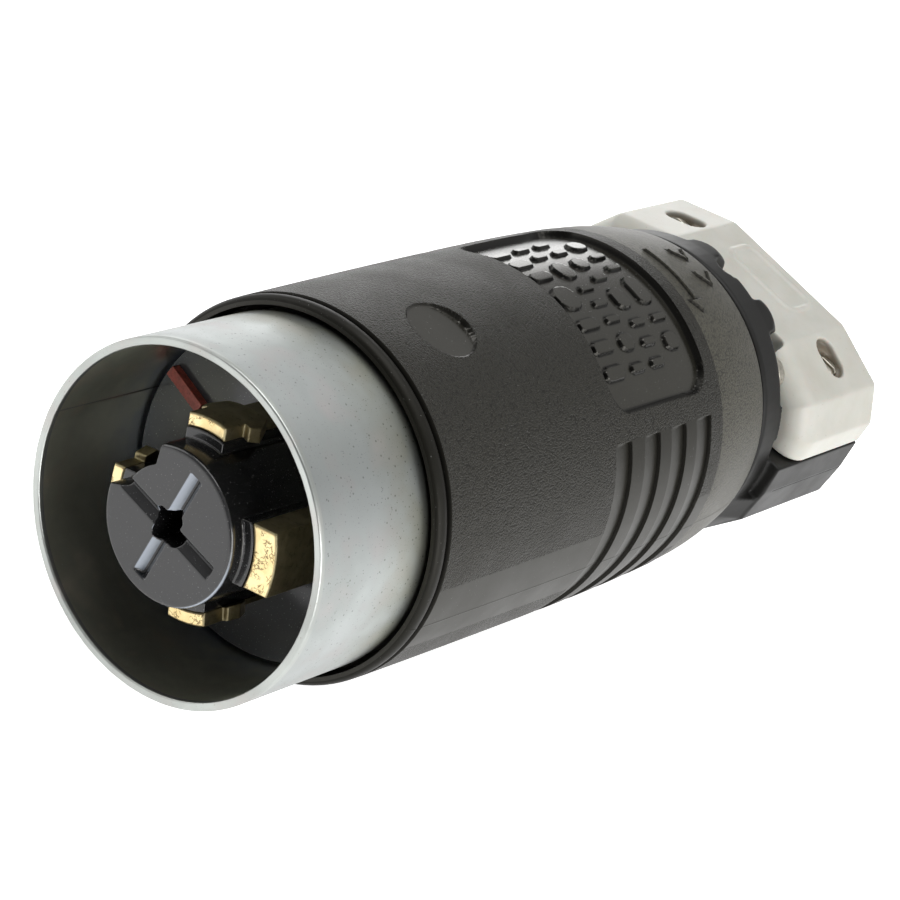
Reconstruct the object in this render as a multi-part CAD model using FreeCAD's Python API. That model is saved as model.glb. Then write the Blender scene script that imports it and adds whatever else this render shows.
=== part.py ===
"""Four-contact shrouded locking cable plug, as an assembly of separate solids.

Frame: millimetres. The plug's axis is the Y axis. The origin is the centre of the steel
shroud's open rim, -Y is the mating side, +Y is the cable side, and +Z passes through the
rating panel and the pale half of the cord clamp. Angles turn from +Z towards +X.
"""
import FreeCAD
import Part
import math
import os

V = FreeCAD.Vector
ORIGIN = V(0, 0, 0)
AXIS = V(0, 1, 0)
UP = V(0, 0, 1)
QUARTERS = (0, 90, 180, 270)

# --- driving dimensions ---------------------------------------------------------------
SHROUD_R = 28.0
SHROUD_WALL = 1.36
SHROUD_END = 40.0
SLEEVE_END = 25.2
SHROUD_SEAT_R = 27.6
FLANGE_BORE_R = 17.5
FLANGE_T = 1.2
RIM_ROUND = 0.25
SEAM_ANGLE = -94.0
SEAM_HALF_ANGLE = 0.3
SEAM_DEPTH = 0.12

FLOOR_Y = 22.3
CARRIER_R = 26.58
CARRIER_LIP_R = 26.2
CARRIER_LIP_T = 1.2
CARRIER_END = SHROUD_END - FLANGE_T - 0.05
POST_R = 12.35
POST_FACE_Y = -1.0
POST_EDGE = 0.7
NOTCH_R = 9.3
NOTCH_ANGLES = (-93.0, -47.5)
NOTCH_FLARE = 10.5
NOTCH_END = 18.3
GROOVE_DEPTH = 1.35
GROOVE_REACH = 10.0
KEY_HOLE_R = 2.5
KEY_HOLE_END = 16.0
KEY_LOBE_R = 1.35
KEY_LOBE_ORBIT = 2.0
KEY_LOBE_TURN = 20.0
BAR_ANGLE = -82.0
BAR_HALF_W = 0.95
BAR_REACH = (17.4, 25.3)
BAR_HEIGHT = 1.5
BAR_SEAT = 1.2

CONTACT_ANGLES = (-22.5, 67.0, 150.0, 245.0)
CONTACT_R0 = 14.1
CONTACT_R1 = 16.3
CONTACT_FRONT = 4.2
CONTACT_HALF_W = 3.6
HEAD_END = 13.4
HEAD_TAB = ((0.0, 8.6), (1.1, 8.4), (1.85, 10.4), (0.3, HEAD_END))
NECK_R1 = 15.0
SHANK_HALF_ANGLE = 8.0
BLADE_END = 27.0
EARTH_NUMBER = 2
EARTH_FRONT = 1.7
EARTH_R1 = 18.4
EARTH_HALF_W = 5.1
CONTACT_EDGE = 0.3
FIT = 0.05

TERMINAL_Y0 = 44.0
TERMINAL_LENGTH = 13.0
TERMINAL_HALF_W = 4.8
TERMINAL_Z0 = 11.5
TERMINAL_Z1 = 21.0
TERMINAL_FLOOR = 1.2
TERMINAL_ROOF = 3.0
TUNNEL_HALF_W = 3.2
TERMINAL_SCREW_Y = TERMINAL_Y0 + 7.5
TERMINAL_SCREW_R = 2.05
TERMINAL_HEAD_R = 3.4
TERMINAL_HEAD_H = 2.1
PLATE_HALF_W = 3.05
PLATE_Y = (TERMINAL_Y0 + 3, TERMINAL_Y0 + 12)
PLATE_T = 1.2
PLATE_TRAVEL = 3.2
BARRIER_R = 25.4
BARRIER_T = 3.2
BARRIER_HUB_R = 4.0
WIRE_R = 4.0
WIRE_ORBIT = 15.2
STRAP_ORBIT = 19.0
STRAP_ANGLE = CONTACT_ANGLES[EARTH_NUMBER - 1]
STRAP_T = 0.7
RIVET_R = 0.9
RIVET_HEAD_R = 1.3

BODY_FRONT = 24.7
BEAD_END = 27.4
GRAIN_END = 103.2
BODY_END = 119.8
BODY_LIP_R = 30.1
BODY_CAVITY_R = 27.6
NECK_BORE_R = 25.3
SHOULDER_Y0 = SHROUD_END + 0.1
SHOULDER_Y1 = 43.0
SHOULDER_R = 20.5
GRIP_MOUTH_R = 28.9
GRIP_MOUTH_END = 31.0
EMBLEM_Y = 42.3
EMBLEM_R = 6.0
EMBLEM_FLOOR = 29.8

PANEL_Y = (71.7, 99.8)
PANEL_HALF_ANGLE = 41.0
PANEL_R = 30.75
PANEL_DEPTH = 1.1
PANEL_CORNER_R = 4.5
PANEL_ROWS = ((73.2, 78.6, (2.4, 2.4, 2.4, 5.6, 2.4, 2.4, 2.4)),
              (80.6, 84.4, (1.6, 1.6, 4.8, 1.6, 1.6, 1.6, 3.2, 1.6)),
              (86.4, 90.2, (1.6, 1.6, 3.2, 1.6, 4.8, 1.6, 1.6, 1.6)),
              (92.5, 96.5, (3.2, 1.6, 1.6, 6.4, 1.6, 3.2)))
PANEL_DASH_GAP = 1.9
PANEL_DASH_H = 0.65
NECK_MARK_H = 0.35
RIB_STARTS = (70.7, 79.0, 86.9, 94.8)
RIB_LENGTH = 4.5
RIB_DEPTH = 0.9
RIB_ANGLES = (49.0, 131.0)
RIB_SURFACE = 30.85

COLLAR_Y0 = 121.5
COLLAR_Y1 = 128.2
COLLAR_R = 27.4
COLLAR_BORE_R = 18.5
SPIGOT_Y0 = 114.0
LUGS = ((-13.0, 134.4), (22.5, 134.4), (64.0, 130.8))
LUG_HALF_W = 3.1
LUG_R = (22.5, 27.0)
FACET_TOP = -2.0
CLAMP_Y0 = 131.0
CLAMP_Y1 = 155.0
CABLE_R = 9.5
CLAMP_BOTTOM = -19.4
CLAMP_SPLIT_Z = 5.5
CLAMP_GAP = 0.3
CLAMP_SCREW_X = 18.8
CLAMP_SCREW_Y = 145.6
CLAMP_SCREW_R = 1.75
CLAMP_HEAD_R = 2.3
CLAMP_HEAD_H = 2.4
CLAMP_SEAT_Z = 15.0
CLAMP_SIDE_X = 29.1
CLAMP_FRONT_ROUND = 4.2
CLAMP_EDGE_ROUND = 1.4
CLAMP_SCREW_TIP = -21.0
NUT_HALF_FLAT = 3.97
NUT_TOP = -12.0
NUT_T = 2.9
RUNNING = 0.07

LONG_SCREW_R = 1.75
LONG_SCREW_HEAD_R = 3.6
LONG_SCREW_HEAD_H = 2.4
LONG_SCREW_ORBIT = 22.8
LONG_SCREW_ANGLES = (-45.0, 45.0, 180.0)
LONG_SCREW_TIP = 30.5


# --- shape helpers --------------------------------------------------------------------
def turned(profile):
    """Solid of revolution about Y from (y, r) corners."""
    wire = Part.makePolygon([V(0, y, r) for y, r in profile + [profile[0]]])
    return Part.Face(wire).revolve(ORIGIN, AXIS, 360)


def cylinder_y(radius, y0, y1, x=0.0, z=0.0):
    return Part.makeCylinder(radius, y1 - y0, V(x, y0, z), AXIS)


def cylinder_z(radius, z0, z1, x=0.0, y=0.0):
    return Part.makeCylinder(radius, z1 - z0, V(x, y, z0), UP)


def box(x0, x1, y0, y1, z0, z1):
    return Part.makeBox(x1 - x0, y1 - y0, z1 - z0, V(x0, y0, z0))


def turn(shape, angle):
    """Copy of a shape turned about the plug's axis, from +Z towards +X."""
    copy = shape.copy()
    copy.rotate(ORIGIN, AXIS, angle)
    return copy


def sector(r0, r1, y0, y1, a0, a1):
    """Curved block between two radii, two depths and two angles."""
    corners = [V(0, y0, r0), V(0, y1, r0), V(0, y1, r1), V(0, y0, r1), V(0, y0, r0)]
    block = Part.Face(Part.makePolygon(corners)).revolve(ORIGIN, AXIS, a1 - a0)
    return turn(block, a0)


def ring(r0, r1, y0, y1):
    """Plain round tube wall about the plug's axis."""
    return turned([(y0, r0), (y0, r1), (y1, r1), (y1, r0)])


def curved_block(r0, r1, y0, y1, half_width):
    """Block with parallel sides that is curved with the plug, centred on +Z."""
    return ring(r0, r1, y0, y1).common(box(-half_width, half_width, y0 - 1, y1 + 1, r0 - 5, r1 + 1))


def prism_z(points, z0, z1):
    """Polygon in the XY plane, raised from z0 to z1."""
    corners = [V(x, y, z0) for x, y in points]
    return Part.Face(Part.makePolygon(corners + corners[:1])).extrude(V(0, 0, z1 - z0))


def prism_y(points, y0, y1):
    """Polygon in the XZ plane, pushed from y0 to y1."""
    corners = [V(x, y0, z) for x, z in points]
    return Part.Face(Part.makePolygon(corners + corners[:1])).extrude(V(0, y1 - y0, 0))


def pill(x0, x1, y0, y1, z0, z1, radius):
    """Block with its four upright edges rounded."""
    block = box(x0, x1, y0, y1, z0, z1)
    upright = [e for e in block.Edges if abs(e.tangentAt(e.FirstParameter).z) > 0.9]
    return block.makeFillet(radius, upright)


def polar(radius, angle):
    """X and Z of a point at a radius and an angle about the plug's axis."""
    return radius * math.sin(math.radians(angle)), radius * math.cos(math.radians(angle))


def join(shapes):
    solid = shapes[0].multiFuse(shapes[1:]) if len(shapes) > 1 else shapes[0]
    return solid.removeSplitter()


def slotted_head(radius, height, slot_w, slot_d):
    """Screw head standing on z = 0 with a rounded crown and a straight slot."""
    head = Part.makeCylinder(radius, height)
    rim = [e for e in head.Edges if abs(e.BoundBox.ZMin - height) < 1e-6 and e.Closed]
    head = head.makeFillet(height * 0.35, rim)
    return head.cut(box(-radius, radius, -slot_w / 2, slot_w / 2, height - slot_d, height))


def place(shape, angle, x, y, z):
    copy = shape.copy()
    copy.rotate(ORIGIN, V(1, 0, 0), angle)
    copy.translate(V(x, y, z))
    return copy


# --- shroud and contact end -----------------------------------------------------------
def steel_shroud():
    inner = SHROUD_R - SHROUD_WALL
    flange_y = SHROUD_END - FLANGE_T
    shell = turned([(0, inner), (0, SHROUD_R), (SLEEVE_END, SHROUD_R), (SLEEVE_END, SHROUD_SEAT_R),
                    (SHROUD_END, SHROUD_SEAT_R), (SHROUD_END, FLANGE_BORE_R),
                    (flange_y, FLANGE_BORE_R), (flange_y, inner)])
    rim = [e for e in shell.Edges if e.Closed and e.BoundBox.YMax < 1e-3]
    shell = shell.makeFillet(RIM_ROUND, rim)
    seam = sector(inner - 0.5, inner + SEAM_DEPTH, 0, FLOOR_Y, SEAM_ANGLE - SEAM_HALF_ANGLE,
                  SEAM_ANGLE + SEAM_HALF_ANGLE)
    holes = [long_screw_hole(angle, flange_y - 1, SHROUD_END + 1) for angle in LONG_SCREW_ANGLES]
    return shell.cut([seam, strap_hole()] + holes)


def long_screw_hole(angle, y0, y1):
    x, z = polar(LONG_SCREW_ORBIT, angle)
    return cylinder_y(LONG_SCREW_R + 0.15, y0, y1, x, z)


def cross_groove(angle):
    """Shallow V groove that runs outwards over the post's face."""
    face = POST_FACE_Y
    section = [V(-GROOVE_DEPTH, face - 0.01, 0), V(GROOVE_DEPTH, face - 0.01, 0),
               V(0, face + GROOVE_DEPTH, 0)]
    groove = Part.Face(Part.makePolygon(section + section[:1])).extrude(V(0, 0, GROOVE_REACH))
    return turn(groove, angle)


def post_hole():
    """Lobed key hole in the middle of the post."""
    y0 = POST_FACE_Y - 1
    lobes = [cylinder_y(KEY_LOBE_R, y0, KEY_HOLE_END, *polar(KEY_LOBE_ORBIT, a)) for a in QUARTERS]
    return join([cylinder_y(KEY_HOLE_R, y0, KEY_HOLE_END)] + [turn(lobe, KEY_LOBE_TURN) for lobe in lobes])


def is_earth(number):
    return number == EARTH_NUMBER


def contact_slot(number, angle):
    """Opening in the carrier for a contact's neck and its narrower shank."""
    outer = (EARTH_R1 if is_earth(number) else NECK_R1) + FIT
    half = (EARTH_HALF_W if is_earth(number) else CONTACT_HALF_W) + FIT
    front = curved_block(CONTACT_R0 - FIT, outer, FLOOR_Y - 1, BLADE_END + FIT, half)
    wide = SHANK_HALF_ANGLE + 0.2
    shank = sector(CONTACT_R0 - FIT, CONTACT_R1 - 0.15, BLADE_END - 1, CARRIER_END + 1, -wide, wide)
    return turn(front.fuse(shank), angle)


def contact_backing(number, angle):
    """Rib of the carrier that stands behind a contact, between it and the post."""
    front = EARTH_FRONT if is_earth(number) else CONTACT_FRONT
    half = EARTH_HALF_W if is_earth(number) else CONTACT_HALF_W
    return turn(curved_block(POST_R - 0.6, CONTACT_R0 - FIT, front, FLOOR_Y + 1, half), angle)


def post_notch():
    """Key notch in the post's side, with walls that flare outwards."""
    y0 = POST_FACE_Y - 1
    mouth = [polar(NOTCH_R, NOTCH_ANGLES[0]), polar(NOTCH_R + 4, NOTCH_ANGLES[0] - NOTCH_FLARE),
             polar(NOTCH_R + 8, sum(NOTCH_ANGLES) / 2),
             polar(NOTCH_R + 4, NOTCH_ANGLES[1] + NOTCH_FLARE), polar(NOTCH_R, NOTCH_ANGLES[1])]
    return prism_y(mouth, y0, NOTCH_END).cut(cylinder_y(NOTCH_R, y0 - 1, NOTCH_END + 1))


def contact_carrier():
    lip_end = FLOOR_Y + CARRIER_LIP_T
    disc = turned([(FLOOR_Y, 0), (FLOOR_Y, CARRIER_LIP_R), (lip_end, CARRIER_LIP_R),
                   (lip_end, CARRIER_R), (CARRIER_END, CARRIER_R), (CARRIER_END, 0)])
    post = cylinder_y(POST_R, POST_FACE_Y, FLOOR_Y + 1)
    rim = [e for e in post.Edges if e.Closed and e.BoundBox.YMax < POST_FACE_Y + 1e-3]
    post = post.makeFillet(POST_EDGE, rim)
    post = post.cut([post_notch()] + [cross_groove(a) for a in QUARTERS])
    backings = [contact_backing(n, a) for n, a in enumerate(CONTACT_ANGLES, 1)]
    carrier = join([disc, post] + backings).cut(post_hole())
    slots = [contact_slot(n, a) for n, a in enumerate(CONTACT_ANGLES, 1)]
    holes = []
    for angle in LONG_SCREW_ANGLES:
        x, z = polar(LONG_SCREW_ORBIT, angle)
        holes.append(cylinder_y(LONG_SCREW_R + FIT, LONG_SCREW_TIP - 0.5, 50, x, z))
    return carrier.cut(slots + holes + [key_strip(FIT)])


def key_strip(gap=0.0):
    """Red-brown polarity bar let into the cavity's floor."""
    half = BAR_HALF_W + gap
    bar = box(-half, half, FLOOR_Y - BAR_HEIGHT, FLOOR_Y + BAR_SEAT + gap, BAR_REACH[0] - gap,
              BAR_REACH[1] + gap)
    return turn(bar, BAR_ANGLE)


def blade_head():
    """Contact's head: a curved plate whose two side tabs catch in the connector's turning slots."""
    right = [(CONTACT_HALF_W + out, y) for out, y in HEAD_TAB]
    left = [(-x, y) for x, y in reversed(right)]
    outline = [(-CONTACT_HALF_W, CONTACT_FRONT), (CONTACT_HALF_W, CONTACT_FRONT)] + right + left
    plate = prism_z(outline, CONTACT_R0 - 3, CONTACT_R1 + 1)
    return plate.common(ring(CONTACT_R0, CONTACT_R1, CONTACT_FRONT - 1, HEAD_END + 1))


def contact(number, angle):
    """Brass blade with its shank and its wire terminal, in one piece."""
    y1 = TERMINAL_Y0 + TERMINAL_LENGTH
    if is_earth(number):
        blade = [curved_block(CONTACT_R0, EARTH_R1, EARTH_FRONT, BLADE_END, EARTH_HALF_W)]
    else:
        neck = curved_block(CONTACT_R0, NECK_R1, HEAD_END - 0.5, BLADE_END, CONTACT_HALF_W)
        blade = [blade_head(), neck]
    shank = sector(CONTACT_R0, CONTACT_R1 - 0.2, BLADE_END - 0.5, TERMINAL_Y0 + 0.5, -SHANK_HALF_ANGLE,
                   SHANK_HALF_ANGLE)
    block = box(-TERMINAL_HALF_W, TERMINAL_HALF_W, TERMINAL_Y0, y1, TERMINAL_Z0, TERMINAL_Z1)
    solid = join(blade + [shank, block])
    front = [e for e in solid.Edges if e.BoundBox.YMax < solid.BoundBox.YMin + 1e-3]
    solid = solid.makeChamfer(CONTACT_EDGE, front)
    tunnel = box(-TUNNEL_HALF_W, TUNNEL_HALF_W, TERMINAL_Y0 + 2, y1 + 1, TERMINAL_Z0 + TERMINAL_FLOOR,
                 TERMINAL_Z1 - TERMINAL_ROOF)
    bore = cylinder_z(TERMINAL_SCREW_R + FIT, TERMINAL_Z1 - 4, TERMINAL_Z1 + 1, 0, TERMINAL_SCREW_Y)
    return turn(solid.cut([tunnel, bore]), angle)


def pressure_plate(angle):
    """Flat plate under the terminal's roof, with its lower edges chamfered."""
    z1 = TERMINAL_Z1 - TERMINAL_ROOF - 0.15
    plate = box(-PLATE_HALF_W, PLATE_HALF_W, PLATE_Y[0], PLATE_Y[1], z1 - PLATE_T, z1)
    edges = [e for e in plate.Edges if e.BoundBox.ZMax < z1 - PLATE_T + 0.1]
    return turn(plate.makeChamfer(0.3, edges), angle)


def terminal_screw(angle):
    """Wire-binding screw, backed out, with its tip on the pressure plate."""
    z0 = TERMINAL_Z1 - TERMINAL_ROOF - 0.1
    head_z = TERMINAL_Z1 + PLATE_TRAVEL + 0.2
    shank = Part.makeCylinder(TERMINAL_SCREW_R, head_z - z0 + 0.5)
    tip = [e for e in shank.Edges if e.Closed and e.BoundBox.ZMax < 1e-3]
    shank = shank.makeChamfer(0.3, tip)
    head = slotted_head(TERMINAL_HEAD_R, TERMINAL_HEAD_H, 0.9, 1.1)
    head.translate(V(0, 0, head_z - z0))
    screw = join([shank, head])
    screw.translate(V(0, TERMINAL_SCREW_Y, z0))
    return turn(screw, angle)


def terminal_barrier():
    """Rear insulator: a disc with a wire hole for each terminal, and walls between them."""
    y0 = TERMINAL_Y0 + TERMINAL_LENGTH + 0.6
    disc = cylinder_y(BARRIER_R, y0, y0 + BARRIER_T)
    gaps = zip(CONTACT_ANGLES, CONTACT_ANGLES[1:] + (CONTACT_ANGLES[0] + 360,))
    walls = [turn(box(-0.8, 0.8, TERMINAL_Y0 - 2, y0 + 1, 3.0, 20.0), (a + b) / 2) for a, b in gaps]
    hub = cylinder_y(BARRIER_HUB_R, TERMINAL_Y0 - 2, y0 + 1)
    wires = [cylinder_y(WIRE_R, y0 - 1, y0 + 5, *polar(WIRE_ORBIT, a)) for a in CONTACT_ANGLES]
    holes = [long_screw_hole(a, y0 - 1, y0 + 5) for a in LONG_SCREW_ANGLES]
    return join([disc, hub] + walls).cut(wires + holes)


def strap_hole():
    x, z = polar(STRAP_ORBIT, STRAP_ANGLE)
    return cylinder_y(RIVET_R + FIT, SHROUD_END - 3, SHROUD_END + 3, x, z)


def ground_strap():
    """Bent strap that bonds the shroud's flange to the earth contact."""
    y0 = SHROUD_END + 0.02
    foot = sector(CONTACT_R1, STRAP_ORBIT + 1.4, y0, y0 + STRAP_T, -9, 9)
    tab = sector(CONTACT_R1, CONTACT_R1 + STRAP_T, y0, TERMINAL_Y0 - 0.02, -6, 6)
    return turn(join([foot, tab]), STRAP_ANGLE).cut(strap_hole())


def ground_rivet():
    x, z = polar(STRAP_ORBIT, STRAP_ANGLE)
    shank = cylinder_y(RIVET_R, SHROUD_END - FLANGE_T, SHROUD_END + 1.0, x, z)
    head = cylinder_y(RIVET_HEAD_R, SHROUD_END + STRAP_T + 0.04, SHROUD_END + 1.5, x, z)
    return join([shank, head])


# --- grip body ------------------------------------------------------------------------
def grip_outline(proud=0.0):
    """Outer skin of the grip as a closed half section, from the lip to the rear end."""
    bead = [V(0, BODY_FRONT, BODY_LIP_R - 0.5), V(0, BODY_FRONT + 0.5, BODY_LIP_R),
            V(0, BODY_FRONT + 1.7, BODY_LIP_R + 0.3), V(0, BEAD_END - 0.25, BODY_LIP_R + 0.15)]
    barrel = [V(0, BEAD_END + 0.35, 30.45), V(0, 60, 30.7), V(0, 80, 30.8), V(0, 95, 30.5),
              V(0, GRAIN_END, 30.3)]
    neck = [V(0, GRAIN_END + 0.2, 30.12), V(0, 108, 29.9), V(0, 113, 29.4), V(0, BODY_END, 28.1)]
    out = V(0, 0, proud)
    edges = []
    for run in (bead, barrel, neck):
        curve = Part.BSplineCurve()
        curve.interpolate([point + out for point in run])
        edges.append(curve.toShape())
    groove = [bead[-1] + out, V(0, BEAD_END - 0.1, BODY_LIP_R - 0.25), barrel[0] + out]
    edges.insert(1, Part.makeLine(groove[0], groove[1]))
    edges.insert(2, Part.makeLine(groove[1], groove[2]))
    edges.insert(4, Part.makeLine(barrel[-1] + out, neck[0] + out))
    closing = [neck[-1] + out, V(0, BODY_END, 0), V(0, BODY_FRONT, 0), bead[0] + out]
    edges += [Part.makeLine(a, b) for a, b in zip(closing, closing[1:])]
    return Part.Face(Part.Wire(edges)).revolve(ORIGIN, AXIS, 360)


def grip_bore():
    seat = SHROUD_SEAT_R + 0.06
    return turned([(BODY_FRONT - 1, 0), (BODY_FRONT - 1, GRIP_MOUTH_R), (GRIP_MOUTH_END, GRIP_MOUTH_R),
                   (GRIP_MOUTH_END + 0.6, seat),
                   (SHOULDER_Y0, seat), (SHOULDER_Y0, SHOULDER_R), (SHOULDER_Y1, SHOULDER_R),
                   (SHOULDER_Y1, BODY_CAVITY_R), (98, BODY_CAVITY_R), (107, NECK_BORE_R),
                   (BODY_END + 1, NECK_BORE_R), (BODY_END + 1, 0)])


def saw_rib(y0, a0, a1):
    """Thumb groove: a ramp that ends in a sharp rear wall."""
    y1 = y0 + RIB_LENGTH
    corners = [V(0, y0, RIB_SURFACE), V(0, y1, RIB_SURFACE - RIB_DEPTH - 0.1), V(0, y1, RIB_SURFACE + 1),
               V(0, y0, RIB_SURFACE + 1)]
    block = Part.Face(Part.makePolygon(corners + corners[:1])).revolve(ORIGIN, AXIS, a1 - a0)
    return turn(block, a0)


def panel_recess():
    """Window in the grip's skin with round corners and a floor that follows the barrel."""
    half = PANEL_R * math.sin(math.radians(PANEL_HALF_ANGLE))
    window = pill(-half, half, PANEL_Y[0], PANEL_Y[1], 15, 35, PANEL_CORNER_R)
    return window.cut(cylinder_y(PANEL_R - PANEL_DEPTH, PANEL_Y[0] - 1, PANEL_Y[1] + 1))


def panel_dashes():
    """Plain raised bars in rows on the panel's floor."""
    bars = []
    for y0, y1, widths in PANEL_ROWS:
        x = -(sum(widths) + PANEL_DASH_GAP * (len(widths) - 1)) / 2
        for width in widths:
            bars.append(pill(x, x + width, y0, y1, 10, 40, min(width, y1 - y0) * 0.45))
            x += width + PANEL_DASH_GAP
    floor_r = PANEL_R - PANEL_DEPTH
    skin = ring(floor_r - 0.3, floor_r + PANEL_DASH_H, *PANEL_Y)
    return [bar.common(skin) for bar in bars]


def neck_arrows():
    """Plain raised marks on the neck: a turning arc with a head, and two chevrons."""
    band = prism_z([(-6.2, 106.0), (6.6, 106.0), (6.6, 107.3), (-6.2, 107.3)], 20, 40)
    head = prism_z([(6.4, 104.5), (9.0, 106.65), (6.4, 108.8)], 20, 40)
    marks = [band.fuse(head)]
    for x in (-5.6, 0.6):
        chevron = [(x, 112.6), (x + 1.3, 112.6), (x + 4.0, 115.1), (x + 1.3, 117.6), (x, 117.6),
                   (x + 2.7, 115.1)]
        marks.append(prism_z(chevron, 20, 40))
    skin = grip_outline(NECK_MARK_H)
    return [mark.common(skin) for mark in marks]


def emblem():
    """Round shallow recess with a flat floor, left blank."""
    return cylinder_z(EMBLEM_R, EMBLEM_FLOOR, 35, 0, EMBLEM_Y)


def grip_body():
    ribs = []
    for y0 in RIB_STARTS:
        ribs.append(saw_rib(y0, RIB_ANGLES[0], RIB_ANGLES[1]))
        ribs.append(saw_rib(y0, -RIB_ANGLES[1], -RIB_ANGLES[0]))
    skin = grip_outline().cut(ribs + [panel_recess(), emblem()])
    skin = skin.multiFuse(panel_dashes() + neck_arrows())
    holes = [long_screw_hole(a, SHOULDER_Y0 - 1, SHOULDER_Y1 + 1) for a in LONG_SCREW_ANGLES]
    return skin.cut([grip_bore()] + holes)


# --- cord clamp -----------------------------------------------------------------------
def clamp_section(bottom):
    """Half of the clamp's outline as (x, z): crown, shoulder, steep side and flank."""
    return [(14.2, 20.4), (25.5, 16.3), (CLAMP_SIDE_X, 10.1), (CLAMP_SIDE_X, bottom)]


def mirrored(points):
    return points + [(-x, z) for x, z in reversed(points)]


def screw_pocket(side):
    """Long shallow pocket in the sloping shoulder, with a deep round seat for the screw's head."""
    x = side * CLAMP_SCREW_X
    crown, shoulder = clamp_section(0)[:2]
    slope = math.atan2(crown[1] - shoulder[1], shoulder[0] - crown[0])
    surface = crown[1] - (CLAMP_SCREW_X - crown[0]) * math.tan(slope)
    slot = pill(-3.9, 3.9, -2.4, 2.4, -1.3, 5, 2.3)
    slot.rotate(ORIGIN, AXIS, side * math.degrees(slope))
    slot.translate(V(x, CLAMP_SCREW_Y, surface))
    seat = cylinder_z(CLAMP_HEAD_R + RUNNING, CLAMP_SEAT_Z - 0.02, 25, x, CLAMP_SCREW_Y)
    shank = cylinder_z(CLAMP_SCREW_R + RUNNING, 0, 25, x, CLAMP_SCREW_Y)
    return [slot, seat, shank]


def cover_frame():
    """Plain raised frame on the crown where a maker would sign."""
    outer = pill(-8.6, 8.6, 144.2, 152.6, 20, 20.75, 2.6)
    inner = pill(-7.8, 7.8, 145.0, 151.8, 19, 22, 1.9)
    return outer.cut(inner)


def clamp_cover():
    bottom = CLAMP_SPLIT_Z + CLAMP_GAP / 2
    block = prism_y(mirrored(clamp_section(bottom)), CLAMP_Y0, CLAMP_Y1)
    upper = [e for e in block.Edges if e.BoundBox.ZMin > bottom + 0.1]
    block = block.makeFillet(CLAMP_EDGE_ROUND, [e for e in upper if e.BoundBox.YLength > 20])
    front = [e for e in block.Edges if e.BoundBox.YMax < CLAMP_Y0 + 1e-3 and e.BoundBox.ZMax > bottom + 0.1]
    block = block.makeFillet(CLAMP_FRONT_ROUND, front)
    pockets = screw_pocket(-1) + screw_pocket(1)
    cable = cylinder_y(CABLE_R, CLAMP_Y0 - 5, CLAMP_Y1 + 5)
    hollows = [side_hollow(side, bottom - 1, 11.0) for side in (-1, 1)]
    return join([block, cover_frame()]).cut([cable, lug_relief()] + pockets + hollows)


def side_hollow(side, z0, z1):
    """Coring between a clamp half's screw column and its outer wall."""
    x0, x1 = sorted((side * 23.0, side * 27.0))
    return box(x0, x1, CLAMP_Y0 + 9, CLAMP_Y1 - 2.2, z0, z1)


def collar_lug(angle, tip):
    """Domed tab that stands rearwards from the collar's edge."""
    tab = pill(-LUG_HALF_W, LUG_HALF_W, COLLAR_Y1 - 4, tip, *LUG_R, LUG_HALF_W - 0.05)
    tab = tab.common(cylinder_y(LUG_R[1], COLLAR_Y1 - 5, COLLAR_Y1 + 8))
    root = box(-10, 10, COLLAR_Y1 - 5, COLLAR_Y1, 20, 30)
    dome = Part.makeSphere(7.2, V(0, tip - 7.1, LUG_R[1] - 6.6))
    return turn(tab.common(root.fuse(dome)), angle)


def lug_relief():
    """Space in the clamp cover's crown that lets it rise past the collar's two upper lugs."""
    return pill(-10.6, 14.4, CLAMP_Y0 - 4, 134.8, 15.2, 30, 1.5)


BASE_SECTION = [(29.4, -0.4), (28.9, -7.1), (22.5, -16.5), (14.2, CLAMP_BOTTOM)]


def collar_facet(side):
    """Flat that grows out of the collar's flank to meet the clamp's side."""
    outer = [(29.3, FACET_TOP)] + BASE_SECTION[1:3]
    inner = [(17.5, outer[-1][1]), (17.5, FACET_TOP)]
    on_collar = [(math.sqrt((COLLAR_R - 0.1) ** 2 - z * z), z) for x, z in outer]
    ends = []
    for y, points in ((COLLAR_Y0 + 0.3, on_collar + inner), (COLLAR_Y1 + 0.3, outer + inner)):
        ends.append(Part.makePolygon([V(side * x, y, z) for x, z in points + points[:1]]))
    return Part.makeLoft(ends, True, True)


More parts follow.
